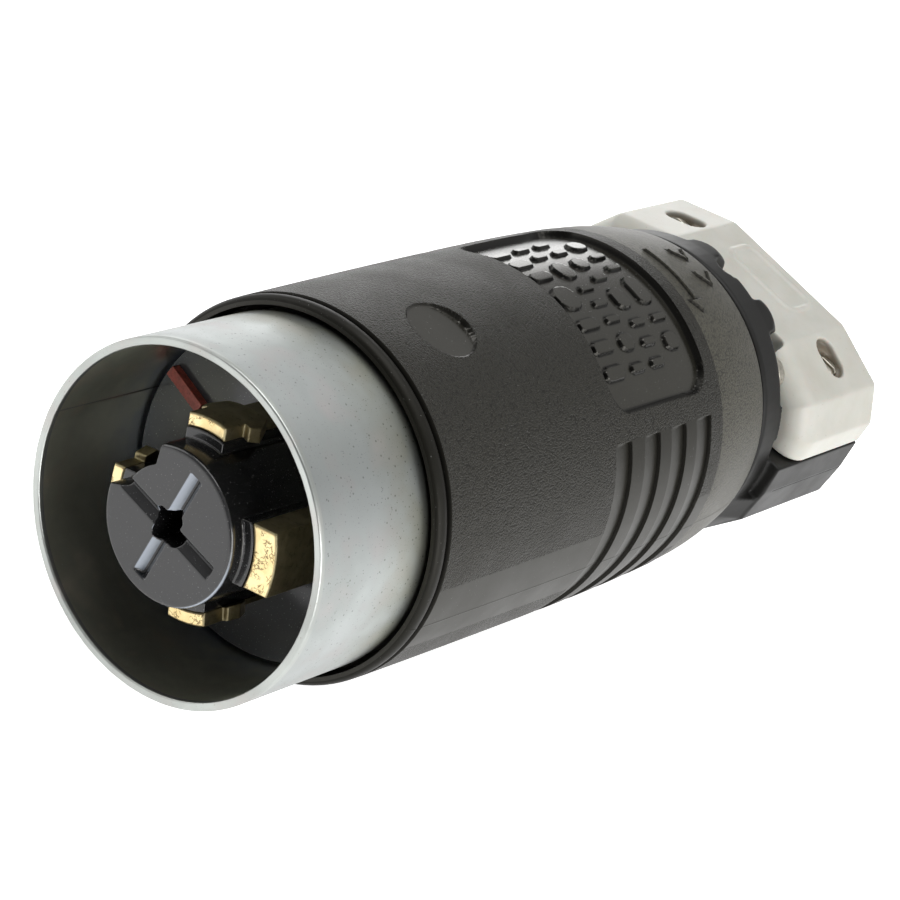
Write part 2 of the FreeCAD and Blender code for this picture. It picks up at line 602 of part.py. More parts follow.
def clamp_base():
    """Rear collar, its spigot into the grip, and the fixed half of the cord clamp."""
    spigot_r = NECK_BORE_R - 0.1
    groove_r = COLLAR_R - 1
    collar = turned([(SPIGOT_Y0, COLLAR_BORE_R), (SPIGOT_Y0, spigot_r), (BODY_END + 0.05, spigot_r),
                     (BODY_END + 0.05, groove_r), (COLLAR_Y0, groove_r), (COLLAR_Y0, COLLAR_R - 0.3),
                     (COLLAR_Y0 + 0.5, COLLAR_R), (COLLAR_Y1 - 1, COLLAR_R - 0.4),
                     (COLLAR_Y1, COLLAR_R - 1), (COLLAR_Y1, COLLAR_BORE_R)])
    lugs = [collar_lug(angle, tip) for angle, tip in LUGS]
    top = CLAMP_SPLIT_Z - CLAMP_GAP / 2
    half = [(CLAMP_SIDE_X, top)] + BASE_SECTION
    block = prism_y(mirrored(half), COLLAR_Y1 - 0.5, CLAMP_Y1)
    facets = [collar_facet(side) for side in (-1, 1)]
    base = join([collar, block] + facets + lugs)
    cuts = [cylinder_y(CABLE_R, 100, CLAMP_Y1 + 5), cylinder_y(COLLAR_BORE_R, 113, COLLAR_Y1 - 2)]
    cuts.append(cylinder_y(CABLE_R + 1, 113, CLAMP_Y0))
    cuts.append(cylinder_z(2.6, 20, 40, 0, COLLAR_Y1))
    cuts += [side_hollow(side, -6.0, top + 1) for side in (-1, 1)]
    for side in (-1, 1):
        x = side * CLAMP_SCREW_X
        cuts.append(cylinder_z(CLAMP_SCREW_R + 0.4, -30, 10, x, CLAMP_SCREW_Y))
        cuts.append(hexagon(x, CLAMP_SCREW_Y, NUT_HALF_FLAT + 0.08, -30, NUT_TOP + 0.05))
    for angle in LONG_SCREW_ANGLES:
        cuts.append(long_screw_hole(angle, 110, COLLAR_Y1 + 1))
        x, z = polar(LONG_SCREW_ORBIT, angle)
        cuts.append(cylinder_y(LONG_SCREW_HEAD_R + 0.2, COLLAR_Y1, CLAMP_Y0, x, z))
    return base.cut(cuts)


def hexagon(x, y, flat, z0, z1):
    """Hexagonal prism along Z; flat is half the size across its flats."""
    radius = flat / math.cos(math.radians(30))
    angles = [math.radians(60 * k + 30) for k in range(6)]
    return prism_z([(x + radius * math.cos(a), y + radius * math.sin(a)) for a in angles], z0, z1)


def clamp_nut(side):
    x = side * CLAMP_SCREW_X
    nut = hexagon(x, CLAMP_SCREW_Y, NUT_HALF_FLAT, NUT_TOP - NUT_T, NUT_TOP)
    return nut.cut(cylinder_z(CLAMP_SCREW_R + FIT, -20, -5, x, CLAMP_SCREW_Y))


def clamp_screw(side):
    """Slotted screw through the cover into its captive nut; the tip shows below."""
    length = CLAMP_SEAT_Z - CLAMP_SCREW_TIP
    shank = Part.makeCylinder(CLAMP_SCREW_R, length + 0.5, V(0, 0, -length))
    tip = [e for e in shank.Edges if e.Closed and e.BoundBox.ZMax < 1e-3 - length]
    shank = shank.makeChamfer(0.4, tip)
    screw = join([shank, slotted_head(CLAMP_HEAD_R, CLAMP_HEAD_H, 0.9, 1.1)])
    screw.translate(V(side * CLAMP_SCREW_X, CLAMP_SCREW_Y, CLAMP_SEAT_Z))
    return screw


def assembly_screws():
    """Long screws from the collar's rear face into the contact carrier."""
    screws = []
    head = slotted_head(LONG_SCREW_HEAD_R, LONG_SCREW_HEAD_H, 1.0, 1.2)
    for angle in LONG_SCREW_ANGLES:
        x, z = polar(LONG_SCREW_ORBIT, angle)
        shank = cylinder_y(LONG_SCREW_R, LONG_SCREW_TIP, COLLAR_Y1 + 0.5, x, z)
        crown = place(head, -90, x, COLLAR_Y1 + 0.02, z)
        screws.append(join([shank, crown]))
    return Part.makeCompound(screws)


# --- output ---------------------------------------------------------------------------
def assembly():
    nodes = {
        "steel_shroud": steel_shroud(),
        "contact_carrier": contact_carrier(),
        "key_strip": key_strip(),
        "terminal_barrier": terminal_barrier(),
        "ground_strap": ground_strap(),
        "ground_rivet": ground_rivet(),
        "grip_body": grip_body(),
        "clamp_base": clamp_base(),
        "clamp_cover": clamp_cover(),
        "clamp_screw_left": clamp_screw(-1),
        "clamp_screw_right": clamp_screw(1),
        "clamp_nuts": Part.makeCompound([clamp_nut(-1), clamp_nut(1)]),
        "assembly_screws": assembly_screws(),
    }
    for number, angle in enumerate(CONTACT_ANGLES, 1):
        nodes["contact_%d" % number] = contact(number, angle)
        nodes["pressure_plate_%d" % number] = pressure_plate(angle)
        nodes["terminal_screw_%d" % number] = terminal_screw(angle)
    return nodes


os.makedirs("parts", exist_ok=True)
for name, shape in assembly().items():
    shape.exportStep("parts/%s.step" % name)
    sizes = [round(solid.Volume, 1) for solid in shape.Solids]
    print(name, shape.isValid(), len(shape.Solids), sizes)
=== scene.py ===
"""Looks of a shrouded locking cable plug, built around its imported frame.

The plug's axis is +Y (cable side), its open steel rim stands at y = 0, and +Z passes through
the rating panel and the pale half of the cord clamp. Lengths here are millimetres, and MM
turns them into the frame's metres. Angles are degrees and turn from +Z towards +X.
"""
import bmesh
import bpy
import math
import numpy as np
from mathutils import Matrix, Vector, noise

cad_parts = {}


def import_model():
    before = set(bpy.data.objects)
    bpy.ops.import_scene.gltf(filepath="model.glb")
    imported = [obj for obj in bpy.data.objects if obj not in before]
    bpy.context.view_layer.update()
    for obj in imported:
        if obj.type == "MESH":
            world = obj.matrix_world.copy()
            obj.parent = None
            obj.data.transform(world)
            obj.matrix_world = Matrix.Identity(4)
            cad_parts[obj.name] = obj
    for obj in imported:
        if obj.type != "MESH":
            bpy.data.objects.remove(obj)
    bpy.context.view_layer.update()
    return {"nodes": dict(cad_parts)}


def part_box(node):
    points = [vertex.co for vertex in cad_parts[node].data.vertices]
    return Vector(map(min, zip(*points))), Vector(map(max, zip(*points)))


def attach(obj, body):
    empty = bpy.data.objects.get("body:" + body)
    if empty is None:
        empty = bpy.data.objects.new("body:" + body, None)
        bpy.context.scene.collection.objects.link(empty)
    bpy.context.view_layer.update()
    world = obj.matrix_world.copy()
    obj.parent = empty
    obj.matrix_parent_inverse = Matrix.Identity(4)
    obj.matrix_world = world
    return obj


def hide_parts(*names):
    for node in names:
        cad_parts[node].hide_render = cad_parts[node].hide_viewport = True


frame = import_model()

MM = 0.001
BODY = "plug_body"


def span(node, axis):
    """Lowest and highest coordinate of a CAD node along an axis, in millimetres."""
    low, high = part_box(node)
    return low[axis] / MM, high[axis] / MM


# --- sizes read from the frame ----------------------------------------------------------
SHROUD_R = span("steel_shroud", 0)[1]
SHROUD_END = span("steel_shroud", 1)[1]
GRIP_Y0, GRIP_Y1 = span("grip_body", 1)
CARRIER_R = span("contact_carrier", 0)[1]
CARRIER_END = span("contact_carrier", 1)[1]

# --- shroud -----------------------------------------------------------------------------
SHROUD_WALL = 1.36
SHROUD_SEAT_R = SHROUD_R - 0.4
SLEEVE_END = 25.2
RIM_ROUND = 0.34
FLANGE_T = 1.2
FLANGE_BORE_R = 17.5
SEAM_ANGLE = 266.0
SEAM_HALF = 0.36
SEAM_DEPTH = 0.16
RIM_WEAR = 0.05
RIM_WEAR_REACH = 1.2
SEAT_ROWS = 3
WALL_ROWS = 24
RIM_ROWS = 6

# --- contact end ------------------------------------------------------------------------
CAVITY_FLOOR = 22.3
CARRIER_LIP_R = 26.2
CARRIER_LIP_END = 23.5
CARRIER_EDGE = 0.12
POST_ROOT = 0.05
WORN_DEPTH = (0.5, 0.9)
LEDGE_DEPTH = (5.0, 5.4)
POLISHED_DEPTH = (4.9, 5.3)

# --- grip -------------------------------------------------------------------------------
BEAD_LENGTH = 2.6
BEAD_FOOT_R = 29.55
BEAD_CROWN = 0.85
BEAD_ROWS = 17
BARREL_R = 30.8
BARREL_PEAK_Y = 78.0
BARREL_EDGE_Y = GRIP_Y0 + BEAD_LENGTH + 0.5
BARREL_FRONT_DROP = 0.35
GRAIN_END = 103.2
GRAIN_END_DROP = 0.5
NECK_STEP = 0.2
NECK_R0 = 30.12
NECK_DROP = 2.02
NECK_POWER = 1.9
REAR_EDGE = 0.5
PARTING_ANGLE = 90.0
PARTING_HALF = 0.3
PARTING_HEIGHT = 0.06
SMOOTH_BAND = (77.0, 100.0)

PANEL_Y = (71.7, 99.8)
PANEL_HALF_W = 20.14
PANEL_CORNER = 4.5
PANEL_DEPTH = 1.1
PANEL_WALL = 0.3
PANEL_ROWS = ((73.2, 78.6, (2.4, 2.4, 2.4, 5.6, 2.4, 2.4, 2.4)),
              (80.6, 84.4, (1.6, 1.6, 4.8, 1.6, 1.6, 1.6, 3.2, 1.6)),
              (86.4, 90.2, (1.6, 1.6, 3.2, 1.6, 4.8, 1.6, 1.6, 1.6)),
              (92.5, 96.5, (3.2, 1.6, 1.6, 6.4, 1.6, 3.2)))
DASH_GAP = 1.9
DASH_HEIGHT = 0.55
DASH_WALL = 0.2
DASH_ROUNDNESS = 0.45

EMBLEM_Y = 42.3
EMBLEM_R = 6.0
EMBLEM_FLOOR_Z = 29.8
EMBLEM_WALL = 0.2

RIB_STARTS = (70.7, 79.0, 86.9, 94.8)
RIB_LENGTH = 4.5
RIB_DEPTH = 0.65
RIB_WALL = 0.12
RIB_END_WALL = 0.35
RIB_ANGLES = (49.0, 131.0)
FINISH_INSET = 0.02

MARK_HEIGHT = 0.45
TURN_BAR = [(-6.2, 106.0), (6.6, 106.0), (6.6, 107.3), (-6.2, 107.3)]
TURN_HEAD = [(6.4, 104.5), (9.0, 106.65), (6.4, 108.8)]
CHEVRON_STARTS = (-5.6, 0.6)
CHEVRON_REACH = 2.7
CHEVRON_BAR = 1.3
CHEVRON_Y = (112.6, 115.1, 117.6)
GRIP_BORE = ((119.8, 25.3), (107.0, 25.3), (98.0, 27.6), (43.0, 27.6), (43.0, 20.5),
             (40.1, 20.5), (40.1, 27.66), (31.6, 27.66), (31.0, 28.9), (24.7, 28.9))

# --- cord clamp -------------------------------------------------------------------------
COLLAR_START = 119.6
COLLAR_GROOVE_END = 121.3
MOULD_LINE_Z = -0.4
MOULD_LINE_START = 130.6
POCKET_X = 18.8
POCKET_Y = 145.6
POCKET_REACH = 5.2
CROWN_HALF_W = 14.2
CROWN_Z = 20.4
SHOULDER_RUN = 11.3
SHOULDER_DROP = 4.1
SHOULDER_SLOPE = math.atan2(SHOULDER_DROP, SHOULDER_RUN)
SHOULDER_REACH = CROWN_HALF_W * math.sin(SHOULDER_SLOPE) + CROWN_Z * math.cos(SHOULDER_SLOPE)


# --- mesh helpers -----------------------------------------------------------------------
def add_piece(name, mesh, body, materials, stands_for=(), kinds=None):
    """Puts a mesh into the scene as a piece on a body; kinds gives each face its material."""
    piece = bpy.data.objects.new(name, mesh)
    bpy.context.scene.collection.objects.link(piece)
    mesh.materials.clear()
    for each in materials:
        mesh.materials.append(each)
    if kinds is not None:
        mesh.polygons.foreach_set("material_index", kinds.astype(np.int32).ravel())
    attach(piece, body)
    if stands_for:
        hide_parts(*stands_for)
    return piece


def polar_points(y, radius, angles):
    """Rows of points (mm) for each y and radius, round all the angles."""
    turn = np.radians(angles)
    x = radius * np.sin(turn)[None, :]
    z = radius * np.cos(turn)[None, :]
    return np.stack([x, np.broadcast_to(y, x.shape), z], axis=-1)


def turned(profile, angles):
    """Rows of points for a profile of (y, radius) turned round the axis."""
    rows = np.array(profile)
    radius = np.repeat(rows[:, 1:], len(angles), axis=1)
    return polar_points(rows[:, :1], radius, angles)


def tube_mesh(name, rows):
    """Closed ring of quads through rows of points; both directions wrap round."""
    count, columns = rows.shape[:2]
    index = np.arange(count * columns).reshape(count, columns)
    below = np.roll(index, -1, axis=0)
    beside = np.roll(index, -1, axis=1)
    across = np.roll(below, -1, axis=1)
    quads = np.stack([index, beside, across, below], axis=-1)
    mesh = bpy.data.meshes.new(name)
    mesh.from_pydata((rows.reshape(-1, 3) * MM).tolist(), [], quads.reshape(-1, 4).tolist())
    face_out(mesh)
    return mesh


def face_out(mesh):
    """Turns all faces of a closed mesh outwards."""
    work = bmesh.new()
    work.from_mesh(mesh)
    bmesh.ops.recalc_face_normals(work, faces=work.faces)
    work.to_mesh(mesh)
    work.free()


def store_painted_shading(mesh, amounts):
    """Keeps how much painted light or shade each point gets, for the materials to read."""
    layer = mesh.attributes.new("painted_shading", "FLOAT", "POINT")
    layer.data.foreach_set("value", amounts.ravel().astype(np.float32))


def smooth(mesh, sharp_angle):
    """Smooth shading, with creases kept sharp above an angle."""
    mesh.shade_smooth()
    mesh.set_sharp_from_angle(angle=math.radians(sharp_angle))


def ease(value):
    """Smooth step from 0 to 1."""
    clipped = np.clip(value, 0.0, 1.0)
    return clipped * clipped * (3.0 - 2.0 * clipped)


def inside(distance, wall):
    """1 where a signed distance is deeper than the wall's width, 0 outside, and smooth between."""
    return ease(-distance / wall)


def rounded_box(u, v, half_u, half_v, corner):
    """Signed distance to a rectangle with round corners, centred on zero."""
    du = np.abs(u) - half_u + corner
    dv = np.abs(v) - half_v + corner
    outer = np.hypot(np.maximum(du, 0.0), np.maximum(dv, 0.0))
    return outer + np.minimum(np.maximum(du, dv), 0.0) - corner


def convex_polygon(u, v, corners):
    """Signed distance to a convex polygon whose corners run anticlockwise."""
    distance = np.full(np.broadcast(u, v).shape, -1e9)
    for (u0, v0), (u1, v1) in zip(corners, corners[1:] + corners[:1]):
        length = math.hypot(u1 - u0, v1 - v0)
        edge = ((u - u0) * (v1 - v0) - (v - v0) * (u1 - u0)) / length
        distance = np.maximum(distance, edge)
    return distance


def stations(*runs):
    """Sorted stations from (start, end, step) runs, with near duplicates left out."""
    spread = [np.linspace(a, b, max(2, round((b - a) / step) + 1)) for a, b, step in runs]
    values = np.unique(np.round(np.concatenate(spread), 4))
    keep = np.concatenate([[True], np.diff(values) > 0.02])
    return values[keep]


def moulded(name, node, voxel, relax, cut_y=None):
    """Copy of a CAD node, cut off at y, remeshed finely and relaxed to round its edges softly."""
    mesh = frame["nodes"][node].data.copy()
    mesh.name = name
    work = bmesh.new()
    work.from_mesh(mesh)
    bmesh.ops.remove_doubles(work, verts=work.verts, dist=1e-7)
    if cut_y is not None:
        trim(work, cut_y)
    work.to_mesh(mesh)
    work.free()
    source = bpy.data.objects.new(name + "_source", mesh)
    bpy.context.scene.collection.objects.link(source)
    remesh = source.modifiers.new("remesh", "REMESH")
    remesh.mode = "VOXEL"
    remesh.voxel_size = voxel * MM
    relaxed = source.modifiers.new("relax", "SMOOTH")
    relaxed.factor = 0.5
    relaxed.iterations = relax
    bpy.context.view_layer.update()
    evaluated = source.evaluated_get(bpy.context.evaluated_depsgraph_get())
    final = bpy.data.meshes.new_from_object(evaluated)
    final.name = name
    bpy.data.objects.remove(source)
    final.shade_smooth()
    return final


def trim(work, y):
    """Keeps the part of a closed mesh in front of y and closes the cut."""
    geometry = list(work.verts) + list(work.edges) + list(work.faces)
    result = bmesh.ops.bisect_plane(work, geom=geometry, plane_co=Vector((0, y * MM, 0)),
                                    plane_no=Vector((0, 1, 0)), clear_outer=True)
    border = [e for e in result["geom_cut"] if isinstance(e, bmesh.types.BMEdge)]
    bmesh.ops.triangle_fill(work, edges=border, use_beauty=True)
    bmesh.ops.recalc_face_normals(work, faces=work.faces)


# --- material helpers -------------------------------------------------------------------
def start_material(name):
    """New material, its node tree, the place on the object, and its main shader."""
    made = bpy.data.materials.new(name)
    made.use_nodes = True
    tree = made.node_tree
    place = tree.nodes.new("ShaderNodeTexCoord").outputs["Object"]
    return made, tree, place, tree.nodes["Principled BSDF"]


def add_node(tree, kind, values=None, **settings):
    """New shader node; values are numbers, colours or other nodes' outputs for its inputs."""
    node = tree.nodes.new(kind)
    for key, value in settings.items():
        setattr(node, key, value)
    for key, value in (values or {}).items():
        if isinstance(value, bpy.types.NodeSocket):
            tree.links.new(value, node.inputs[key])
        else:
            node.inputs[key].default_value = value
    return node


def noise_value(tree, place, size, detail=3.0, roughness=0.55, distortion=0.0):
    """Noise whose features measure about size millimetres."""
    values = {"Vector": place, "Scale": 1.0 / (size * MM), "Detail": detail,
              "Roughness": roughness, "Distortion": distortion}
    return add_node(tree, "ShaderNodeTexNoise", values).outputs["Fac"]


def cells(tree, place, size):
    """Distance to the nearest of scattered points about size millimetres apart."""
    values = {"Vector": place, "Scale": 1.0 / (size * MM)}
    return add_node(tree, "ShaderNodeTexVoronoi", values).outputs["Distance"]


def remap(tree, value, low, high, to_low=0.0, to_high=1.0):
    """Maps low..high to to_low..to_high and holds the ends."""
    values = {"Value": value, "From Min": low, "From Max": high, "To Min": to_low,
              "To Max": to_high}
    return add_node(tree, "ShaderNodeMapRange", values).outputs["Result"]


def blend_colours(tree, factor, first, second, mode="MIX"):
    """Goes from the first colour to the second as factor goes from 0 to 1."""
    node = add_node(tree, "ShaderNodeMix", data_type="RGBA", blend_type=mode)
    for key, kind, value in (("Factor", "VALUE", factor), ("A", "RGBA", first),
                             ("B", "RGBA", second)):
        socket = next(s for s in node.inputs if s.name == key and s.type == kind)
        if isinstance(value, bpy.types.NodeSocket):
            tree.links.new(value, socket)
        else:
            socket.default_value = value
    return next(s for s in node.outputs if s.type == "RGBA")


def clouded(tree, cloud, first, second, high=0.7):
    """Two colours in soft patches."""
    return blend_colours(tree, remap(tree, cloud, 0.35, high), first, second)


def arithmetic(tree, operation, first, second):
    return add_node(tree, "ShaderNodeMath", {0: first, 1: second}, operation=operation).outputs[0]


def times(tree, first, second):
    return arithmetic(tree, "MULTIPLY", first, second)


def opposite(tree, value):
    return arithmetic(tree, "SUBTRACT", 1.0, value)


def away_from(tree, value, centre):
    """How far a value is from a centre, either way."""
    return arithmetic(tree, "ABSOLUTE", arithmetic(tree, "SUBTRACT", value, centre), 0.0)


def vector_maths(tree, operation, first, second, output="Vector"):
    node = add_node(tree, "ShaderNodeVectorMath", {0: first, 1: second}, operation=operation)
    return node.outputs[output]


def bump(tree, height, depth, under=None):
    """Bump whose height of 1 stands for depth millimetres."""
    values = {"Height": height, "Distance": depth * MM, "Strength": 1.0}
    if under is not None:
        values["Normal"] = under
    return add_node(tree, "ShaderNodeBump", values).outputs["Normal"]


def set_inputs(tree, shader, values):
    """Sets or links the shader's inputs by name."""
    for key, value in values.items():
        if isinstance(value, bpy.types.NodeSocket):
            tree.links.new(value, shader.inputs[key])
        else:
            shader.inputs[key].default_value = value


def grey(level, blue=0.0):
    return (level, level, level + blue, 1.0)


def specks(tree, place, size, threshold):
    """1 on scattered small specks, 0 elsewhere."""
    return remap(tree, noise_value(tree, place, size, 1.5, 0.5), threshold, threshold + 0.03)


def painted_shading_amount(tree):
    """Painted shading stored on the mesh by store_painted_shading, or 0 where there is none."""
    return add_node(tree, "ShaderNodeAttribute", attribute_name="painted_shading").outputs["Fac"]


def facing(tree, direction, low, high):
    """1 where the surface faces a direction, 0 where it does not."""
    normal = tree.nodes.new("ShaderNodeTexCoord").outputs["Normal"]
    return remap(tree, vector_maths(tree, "DOT_PRODUCT", normal, direction, "Value"), low, high)


def facing_front(tree, low, high):
    return facing(tree, (0.0, -1.0, 0.0), low, high)


def past(tree, place, limits):
    """0 in front of the first limit (mm along the axis) and 1 behind the second."""
    split = add_node(tree, "ShaderNodeSeparateXYZ", {0: place})
    return remap(tree, split.outputs["Y"], limits[0] * MM, limits[1] * MM)


def before(tree, place, limits):
    """1 in front of the first limit (mm along the axis) and 0 behind the second."""
    return opposite(tree, past(tree, place, limits))


# --- materials --------------------------------------------------------------------------
# Run along the axis (mm) over which the zinc is given a painted shade.
DEEP_SHADE_RUN = (13.0, 26.0)
SPECK_SIZES = ((1.35, 0.8), (0.8, 0.8), (0.45, 0.6))


def zinc_steel(name, light, dark, roughness, speck_size, speck_colour, deep_shade_colour):
    """Dull bright zinc plate: coloured patches, fine streaks, specks, and a painted shade further
    back towards the grip.
    """
    made, tree, place, shader = start_material(name)
    patches = noise_value(tree, place, 14.0, 3.0)
    tint = blend_colours(tree, remap(tree, patches, 0.4, 0.62), light, dark)
    rainbow = noise_value(tree, place, 7.0, 2.0)
    warm = (light[0] * 1.06, light[1] * 0.95, light[2] * 0.95, 1.0)
    tint = blend_colours(tree, remap(tree, rainbow, 0.5, 0.75, 0.0, 0.7), tint, warm)
    # Painted shade: further back along the axis the zinc turns to the darker deep colour, towards
    # the grip outside and into the cavity on the bore; specks crowd there too.
    deeper = times(tree, past(tree, place, DEEP_SHADE_RUN), remap(tree, rainbow, 0.3, 0.6, 0.25, 1.0))
    tint = blend_colours(tree, deeper, tint, deep_shade_colour)
    crowd = remap(tree, deeper, 0.0, 1.0, 0.6, 1.0)
    for spacing, amount in SPECK_SIZES:
        dots = remap(tree, cells(tree, place, spacing), speck_size * 0.5, speck_size, 1.0, 0.0)
        cover = times(tree, dots, times(tree, crowd, amount))
        tint = blend_colours(tree, cover, tint, speck_colour)
    drawn = {"Vector": place, "Scale": (1.0, 0.12, 1.0)}
    streaks = noise_value(tree, add_node(tree, "ShaderNodeMapping", drawn).outputs[0], 0.35, 3.0)
    rough = remap(tree, patches, 0.3, 0.7, roughness * 0.85, roughness * 1.15)
    lumps = bump(tree, noise_value(tree, place, 1.6, 2.0), 0.012)
    scratches = bump(tree, streaks, 0.004, lumps)
    # Painted reflection: the shading stored along the bore's seam blends the colour to a flat grey.
    finished = blend_colours(tree, painted_shading_amount(tree), tint, grey(0.42))
    set_inputs(tree, shader, {"Base Color": finished, "Metallic": 1.0, "Roughness": rough,
                              "Normal": scratches})
    return made


GROOVE_SLOPE = (0.9, -0.31, -0.31)


def phenolic(name, side, face, roughness, gloss, blue):
    """Moulded phenolic: dark glossy sides, a worn grey face, a painted highlight on the grooves'
    facets that face +X, faint flow marks and pale dust.
    """
    made, tree, place, shader = start_material(name)
    cloud = noise_value(tree, place, 3.0, 4.0)
    dark = grey(side, side * blue)
    pale = grey(face, face * blue)
    worn = times(tree, facing_front(tree, 0.2, 0.65), before(tree, place, WORN_DEPTH))
    flat = times(tree, facing_front(tree, 0.82, 0.95), worn)
    ledge = times(tree, facing_front(tree, 0.3, 0.8), before(tree, place, LEDGE_DEPTH))
    base = blend_colours(tree, times(tree, ledge, 0.35), dark, pale)
    base = blend_colours(tree, worn, base, pale)
    patches = remap(tree, cloud, 0.35, 0.7, 0.0, 0.3)
    mottle = blend_colours(tree, patches, grey(1.0), grey(0.72, 0.02))
    base = blend_colours(tree, 1.0, base, mottle, "MULTIPLY")
    # Painted highlight: the facets of the post's grooves that face +X near the front get a pale
    # bluish colour.
    groove_painted_highlight = times(tree, facing(tree, GROOVE_SLOPE, 0.72, 0.86), worn)
    base = blend_colours(tree, times(tree, groove_painted_highlight, 0.8), base, (0.36, 0.40, 0.46, 1.0))
    spots = specks(tree, place, 0.26, 0.70)
    base = blend_colours(tree, times(tree, spots, 0.4), base, grey(0.3))
    rough = remap(tree, flat, 0.0, 1.0, roughness, 0.46)
    skin = bump(tree, noise_value(tree, place, 0.5, 3.0), 0.005)
    set_inputs(tree, shader, {"Base Color": base, "Roughness": rough, "Normal": skin,
                              "Specular IOR Level": gloss})
    return made


def brass(name):
    """Brass worn bright on the front ends, with dark wear marks, and dull olive elsewhere; the
    bright and dull tones are partly wear and tarnish and partly painted light and shade.
    """
    made, tree, place, shader = start_material(name)
    cloud = noise_value(tree, place, 2.6, 4.0, 0.6, 0.6)
    dull = clouded(tree, cloud, (0.30, 0.26, 0.16, 1.0), (0.21, 0.175, 0.10, 1.0), 0.68)
    stain = remap(tree, noise_value(tree, place, 1.1, 4.0, 0.65, 0.8), 0.56, 0.7, 0.0, 0.45)
    dull = blend_colours(tree, stain, dull, (0.030, 0.022, 0.012, 1.0))
    bright = clouded(tree, cloud, (0.80, 0.66, 0.37, 1.0), (0.66, 0.50, 0.24, 1.0), 0.68)
    veins = away_from(tree, noise_value(tree, place, 0.9, 3.0), 0.5)
    patch = remap(tree, noise_value(tree, place, 2.2, 1.0), 0.46, 0.54)
    wear = times(tree, remap(tree, veins, 0.018, 0.040, 1.0, 0.0), patch)
    bright = blend_colours(tree, times(tree, wear, 0.85), bright, (0.10, 0.065, 0.03, 1.0))
    # Partly painted light and shade: front-facing ends near the front take the bright brass, every
    # other face the dull olive.
    polished_and_lit = times(tree, facing_front(tree, 0.7, 0.9), before(tree, place, POLISHED_DEPTH))
    base = blend_colours(tree, polished_and_lit, dull, bright)
    rough = remap(tree, polished_and_lit, 0.0, 1.0, 0.48, 0.30)
    skin = bump(tree, noise_value(tree, place, 0.6, 4.0), 0.02)
    set_inputs(tree, shader, {"Base Color": base, "Metallic": 1.0, "Roughness": rough,
                              "Normal": skin})
    return made


def plated(name):
    """Zinc-plated screw steel with a slightly yellow cast and patches of dirt."""
    made, tree, place, shader = start_material(name)
    cloud = noise_value(tree, place, 1.2, 4.0)
    base = clouded(tree, cloud, (0.56, 0.53, 0.46, 1.0), (0.34, 0.32, 0.27, 1.0))
    dirt = remap(tree, noise_value(tree, place, 0.7, 3.0), 0.6, 0.72)
    base = blend_colours(tree, dirt, base, (0.16, 0.14, 0.11, 1.0))
    skin = bump(tree, noise_value(tree, place, 0.3, 2.0), 0.01)
    rough = remap(tree, cloud, 0.3, 0.7, 0.28, 0.45)
    set_inputs(tree, shader, {"Base Color": base, "Metallic": 1.0, "Roughness": rough,
                              "Normal": skin})
    return made


def red_fibre(name):
    """Red-brown fibre bar with darker strands along its length."""
    made, tree, place, shader = start_material(name)
    strands = noise_value(tree, place, 0.5, 4.0, 0.7)
    base = clouded(tree, strands, (0.36, 0.075, 0.055, 1.0), (0.16, 0.034, 0.026, 1.0))
    skin = bump(tree, strands, 0.03)
    set_inputs(tree, shader, {"Base Color": base, "Roughness": 0.5, "Normal": skin})
    return made


GRAIN_SIZE = 0.33
GRAIN_WANDER_SIZE = 0.625
GRAIN_WANDER = 0.25


def grip_plastic(name, level, roughness, gloss, grain=0.0):
    """Black nylon; grain is the depth (mm) of its leather pebbles, or 0 for a smooth skin."""
    made, tree, place, shader = start_material(name)
    cloud = noise_value(tree, place, 9.0, 3.0)
    light = (level * 1.22, level * 1.16, level * 0.88, 1.0)
    dark = (level, level * 0.95, level * 0.72, 1.0)
    base = clouded(tree, cloud, dark, light)
    skin = bump(tree, noise_value(tree, place, 0.5, 2.0), 0.003)
    if grain > 0:
        values = {"Vector": place, "Scale": 1.0 / (GRAIN_WANDER_SIZE * MM), "Detail": 2.0}
        wander = add_node(tree, "ShaderNodeTexNoise", values).outputs["Color"]
        offset = vector_maths(tree, "MULTIPLY", wander, (GRAIN_WANDER * MM,) * 3)
        pebbles = cells(tree, vector_maths(tree, "ADD", place, offset), GRAIN_SIZE)
        creases = remap(tree, pebbles, 0.3, 0.75)
        # Painted shade: the pebbles' creases are coloured darker.
        crease_shade_colour = (level * 0.2, level * 0.2, level * 0.18, 1.0)
        base = blend_colours(tree, times(tree, creases, 0.8), base, crease_shade_colour)
        skin = bump(tree, creases, -grain, skin)
    dust = specks(tree, place, 0.3, 0.735)
    base = blend_colours(tree, times(tree, dust, 0.4), base, grey(0.26))
    # Painted shade: the stored painted shading darkens the colour and dulls the gloss.
    painted_shading = painted_shading_amount(tree)
    base = blend_colours(tree, painted_shading, base, grey(0.002))
    shine = remap(tree, painted_shading, 0.0, 1.0, gloss, gloss * 0.3)
    rough = remap(tree, cloud, 0.3, 0.7, roughness * 0.9, roughness * 1.12)
    set_inputs(tree, shader, {"Base Color": base, "Roughness": rough, "Normal": skin,
                              "Specular IOR Level": shine,
                              "Specular Tint": (1.0, 0.97, 0.88, 1.0)})
    return made


